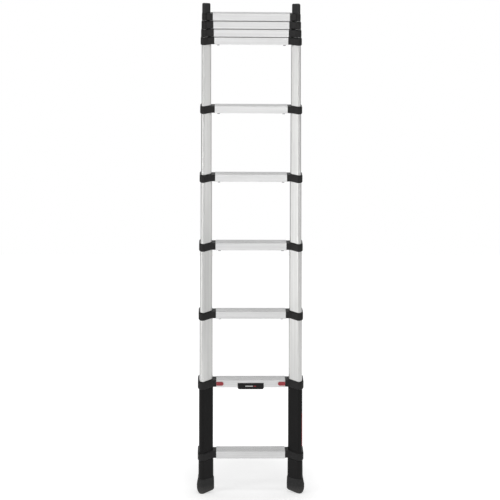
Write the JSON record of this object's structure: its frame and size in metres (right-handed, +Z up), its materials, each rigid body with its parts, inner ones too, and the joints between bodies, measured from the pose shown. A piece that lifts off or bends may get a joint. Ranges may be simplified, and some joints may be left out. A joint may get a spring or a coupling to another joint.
{
  "type": "telescoping ladder",
  "caption": "Telescoping ladder with nested triangular stile tubes, flat tilted rungs in black collars, thumb release sliders and rubber feet, partly extended.",
  "frame": {"origin": "on the floor, midway between the two feet, at the lowest edge of their soles", "axes": "+Z up along the stiles, +X across the ladder along the rungs, +Y from the climber's side towards the wall"},
  "size_m": [0.4702, 0.0862, 2.1517],
  "materials": {
    "black_stile": "semi-gloss black powder coat on aluminium tube",
    "stile_aluminium": "satin anodised extrusion with fine lengthwise draw lines",
    "rung_aluminium": "pale satin anodised extrusion, grooved tread",
    "collar_nylon": "black glass-filled nylon, faint moulding grain",
    "socket_plastic": "semi-gloss black moulded plastic",
    "foot_rubber": "dark grey matt rubber",
    "cap_plastic": "black moulded plastic, satin",
    "slider_red": "red moulded plastic with thumb ridges",
    "badge_plastic": "plain black plate with a raised border",
    "trigger_plastic": "dark grey nylon",
    "pin_steel": "plain ground steel"
  },
  "bodies": {
    "base": {"left_base_tube": "black_stile", "right_base_tube": "black_stile", "left_foot": "foot_rubber", "right_foot": "foot_rubber", "foot_sockets": "socket_plastic", "bottom_rung": "rung_aluminium", "bottom_collars": "collar_nylon", "control_rung": "rung_aluminium", "control_collars": "collar_nylon", "badge_plate": "badge_plastic"},
    "left_release": {"left_release_slider": "slider_red", "left_release_pin": "pin_steel"},
    "right_release": {"right_release_slider": "slider_red", "right_release_pin": "pin_steel"},
    "section_2": {"section_2_tubes": "stile_aluminium", "section_2_rung": "rung_aluminium", "section_2_collars": "collar_nylon"},
    "section_2_trigger": {"section_2_triggers": "trigger_plastic"},
    "section_2_left_lock": {"section_2_left_lock_pin": "pin_steel"},
    "section_2_right_lock": {"section_2_right_lock_pin": "pin_steel"},
    "section_3": {"section_3_tubes": "stile_aluminium", "section_3_rung": "rung_aluminium", "section_3_collars": "collar_nylon"},
    "section_3_trigger": {"section_3_triggers": "trigger_plastic"},
    "section_3_left_lock": {"section_3_left_lock_pin": "pin_steel"},
    "section_3_right_lock": {"section_3_right_lock_pin": "pin_steel"},
    "section_4": {"section_4_tubes": "stile_aluminium", "section_4_rung": "rung_aluminium", "section_4_collars": "collar_nylon"},
    "section_4_trigger": {"section_4_triggers": "trigger_plastic"},
    "section_4_left_lock": {"section_4_left_lock_pin": "pin_steel"},
    "section_4_right_lock": {"section_4_right_lock_pin": "pin_steel"},
    "section_5": {"section_5_tubes": "stile_aluminium", "section_5_rung": "rung_aluminium", "section_5_collars": "collar_nylon"},
    "section_5_trigger": {"section_5_triggers": "trigger_plastic"},
    "section_5_left_lock": {"section_5_left_lock_pin": "pin_steel"},
    "section_5_right_lock": {"section_5_right_lock_pin": "pin_steel"},
    "section_6": {"section_6_tubes": "stile_aluminium", "section_6_rung": "rung_aluminium", "section_6_collars": "collar_nylon"},
    "section_6_trigger": {"section_6_triggers": "trigger_plastic"},
    "section_6_left_lock": {"section_6_left_lock_pin": "pin_steel"},
    "section_6_right_lock": {"section_6_right_lock_pin": "pin_steel"},
    "section_7": {"section_7_tubes": "stile_aluminium", "section_7_rung": "rung_aluminium", "section_7_collars": "collar_nylon"},
    "section_7_trigger": {"section_7_triggers": "trigger_plastic"},
    "section_7_left_lock": {"section_7_left_lock_pin": "pin_steel"},
    "section_7_right_lock": {"section_7_right_lock_pin": "pin_steel"},
    "section_8": {"section_8_tubes": "stile_aluminium", "section_8_rung": "rung_aluminium", "section_8_collars": "collar_nylon"},
    "section_8_trigger": {"section_8_triggers": "trigger_plastic"},
    "section_8_left_lock": {"section_8_left_lock_pin": "pin_steel"},
    "section_8_right_lock": {"section_8_right_lock_pin": "pin_steel"},
    "section_9": {"section_9_tubes": "stile_aluminium", "section_9_rung": "rung_aluminium", "section_9_collars": "collar_nylon", "end_caps": "cap_plastic"}
  },
  "joints": [
    {"name": "section_2_slide", "type": "slide", "parent": "base", "child": "section_2", "axis": [0, 0, 1], "range_m": [-0.2649, 0]},
    {"name": "section_3_slide", "type": "slide", "parent": "section_2", "child": "section_3", "axis": [0, 0, 1], "range_m": [-0.2649, 0]},
    {"name": "section_4_slide", "type": "slide", "parent": "section_3", "child": "section_4", "axis": [0, 0, 1], "range_m": [-0.2649, 0]},
    {"name": "section_5_slide", "type": "slide", "parent": "section_4", "child": "section_5", "axis": [0, 0, 1], "range_m": [-0.2649, 0]},
    {"name": "section_6_slide", "type": "slide", "parent": "section_5", "child": "section_6", "axis": [0, 0, 1], "range_m": [-0.2649, 0]},
    {"name": "section_7_slide", "type": "slide", "parent": "section_6", "child": "section_7", "axis": [0, 0, 1], "range_m": [0, 0.2649]},
    {"name": "section_8_slide", "type": "slide", "parent": "section_7", "child": "section_8", "axis": [0, 0, 1], "range_m": [0, 0.2649]},
    {"name": "section_9_slide", "type": "slide", "parent": "section_8", "child": "section_9", "axis": [0, 0, 1], "range_m": [0, 0.2649]},
    {"name": "left_release_slide", "type": "slide", "parent": "base", "child": "left_release", "axis": [1, 0, 0], "range_m": [0, 0.012], "stiffness_N_per_m": 500, "springref_m": -0.006},
    {"name": "right_release_slide", "type": "slide", "parent": "base", "child": "right_release", "axis": [-1, 0, 0], "range_m": [0, 0.012], "stiffness_N_per_m": 500, "springref_m": -0.006},
    {"name": "section_2_trigger_press", "type": "slide", "parent": "section_2", "child": "section_2_trigger", "axis": [0, 0, 1], "range_m": [0, 0.0031], "stiffness_N_per_m": 400, "springref_m": -0.003},
    {"name": "section_2_left_lock_slide", "type": "slide", "parent": "section_2", "child": "section_2_left_lock", "axis": [1, 0, 0], "range_m": [0, 0.0031]},
    {"name": "section_2_right_lock_slide", "type": "slide", "parent": "section_2", "child": "section_2_right_lock", "axis": [-1, 0, 0], "range_m": [0, 0.0031]},
    {"name": "section_3_trigger_press", "type": "slide", "parent": "section_3", "child": "section_3_trigger", "axis": [0, 0, 1], "range_m": [0, 0.0031], "stiffness_N_per_m": 400, "springref_m": -0.003},
    {"name": "section_3_left_lock_slide", "type": "slide", "parent": "section_3", "child": "section_3_left_lock", "axis": [1, 0, 0], "range_m": [0, 0.0031]},
    {"name": "section_3_right_lock_slide", "type": "slide", "parent": "section_3", "child": "section_3_right_lock", "axis": [-1, 0, 0], "range_m": [0, 0.0031]},
    {"name": "section_4_trigger_press", "type": "slide", "parent": "section_4", "child": "section_4_trigger", "axis": [0, 0, 1], "range_m": [0, 0.0031], "stiffness_N_per_m": 400, "springref_m": -0.003},
    {"name": "section_4_left_lock_slide", "type": "slide", "parent": "section_4", "child": "section_4_left_lock", "axis": [1, 0, 0], "range_m": [0, 0.0031]},
    {"name": "section_4_right_lock_slide", "type": "slide", "parent": "section_4", "child": "section_4_right_lock", "axis": [-1, 0, 0], "range_m": [0, 0.0031]},
    {"name": "section_5_trigger_press", "type": "slide", "parent": "section_5", "child": "section_5_trigger", "axis": [0, 0, 1], "range_m": [0, 0.0031], "stiffness_N_per_m": 400, "springref_m": -0.003},
    {"name": "section_5_left_lock_slide", "type": "slide", "parent": "section_5", "child": "section_5_left_lock", "axis": [1, 0, 0], "range_m": [0, 0.0031]},
    {"name": "section_5_right_lock_slide", "type": "slide", "parent": "section_5", "child": "section_5_right_lock", "axis": [-1, 0, 0], "range_m": [0, 0.0031]},
    {"name": "section_6_trigger_press", "type": "slide", "parent": "section_6", "child": "section_6_trigger", "axis": [0, 0, 1], "range_m": [0, 0.0031], "stiffness_N_per_m": 400, "springref_m": -0.003},
    {"name": "section_6_left_lock_slide", "type": "slide", "parent": "section_6", "child": "section_6_left_lock", "axis": [1, 0, 0], "range_m": [0, 0.0031]},
    {"name": "section_6_right_lock_slide", "type": "slide", "parent": "section_6", "child": "section_6_right_lock", "axis": [-1, 0, 0], "range_m": [0, 0.0031]},
    {"name": "section_7_trigger_press", "type": "slide", "parent": "section_7", "child": "section_7_trigger", "axis": [0, 0, 1], "range_m": [-0.0031, 0], "stiffness_N_per_m": 400, "springref_m": 0.003},
    {"name": "section_7_left_lock_slide", "type": "slide", "parent": "section_7", "child": "section_7_left_lock", "axis": [1, 0, 0], "range_m": [-0.0031, 0]},
    {"name": "section_7_right_lock_slide", "type": "slide", "parent": "section_7", "child": "section_7_right_lock", "axis": [-1, 0, 0], "range_m": [-0.0031, 0]},
    {"name": "section_8_trigger_press", "type": "slide", "parent": "section_8", "child": "section_8_trigger", "axis": [0, 0, 1], "range_m": [-0.0031, 0], "stiffness_N_per_m": 400, "springref_m": 0.003},
    {"name": "section_8_left_lock_slide", "type": "slide", "parent": "section_8", "child": "section_8_left_lock", "axis": [1, 0, 0], "range_m": [-0.0031, 0]},
    {"name": "section_8_right_lock_slide", "type": "slide", "parent": "section_8", "child": "section_8_right_lock", "axis": [-1, 0, 0], "range_m": [-0.0031, 0]}
  ],
  "couplings": [
    {"joint": "section_2_left_lock_slide", "follows": "section_2_trigger_press", "ratio": 1},
    {"joint": "section_2_right_lock_slide", "follows": "section_2_trigger_press", "ratio": 1},
    {"joint": "section_3_left_lock_slide", "follows": "section_3_trigger_press", "ratio": 1},
    {"joint": "section_3_right_lock_slide", "follows": "section_3_trigger_press", "ratio": 1},
    {"joint": "section_4_left_lock_slide", "follows": "section_4_trigger_press", "ratio": 1},
    {"joint": "section_4_right_lock_slide", "follows": "section_4_trigger_press", "ratio": 1},
    {"joint": "section_5_left_lock_slide", "follows": "section_5_trigger_press", "ratio": 1},
    {"joint": "section_5_right_lock_slide", "follows": "section_5_trigger_press", "ratio": 1},
    {"joint": "section_6_left_lock_slide", "follows": "section_6_trigger_press", "ratio": 1},
    {"joint": "section_6_right_lock_slide", "follows": "section_6_trigger_press", "ratio": 1},
    {"joint": "section_7_left_lock_slide", "follows": "section_7_trigger_press", "ratio": 1},
    {"joint": "section_7_right_lock_slide", "follows": "section_7_trigger_press", "ratio": 1},
    {"joint": "section_8_left_lock_slide", "follows": "section_8_trigger_press", "ratio": 1},
    {"joint": "section_8_right_lock_slide", "follows": "section_8_trigger_press", "ratio": 1}
  ]
}
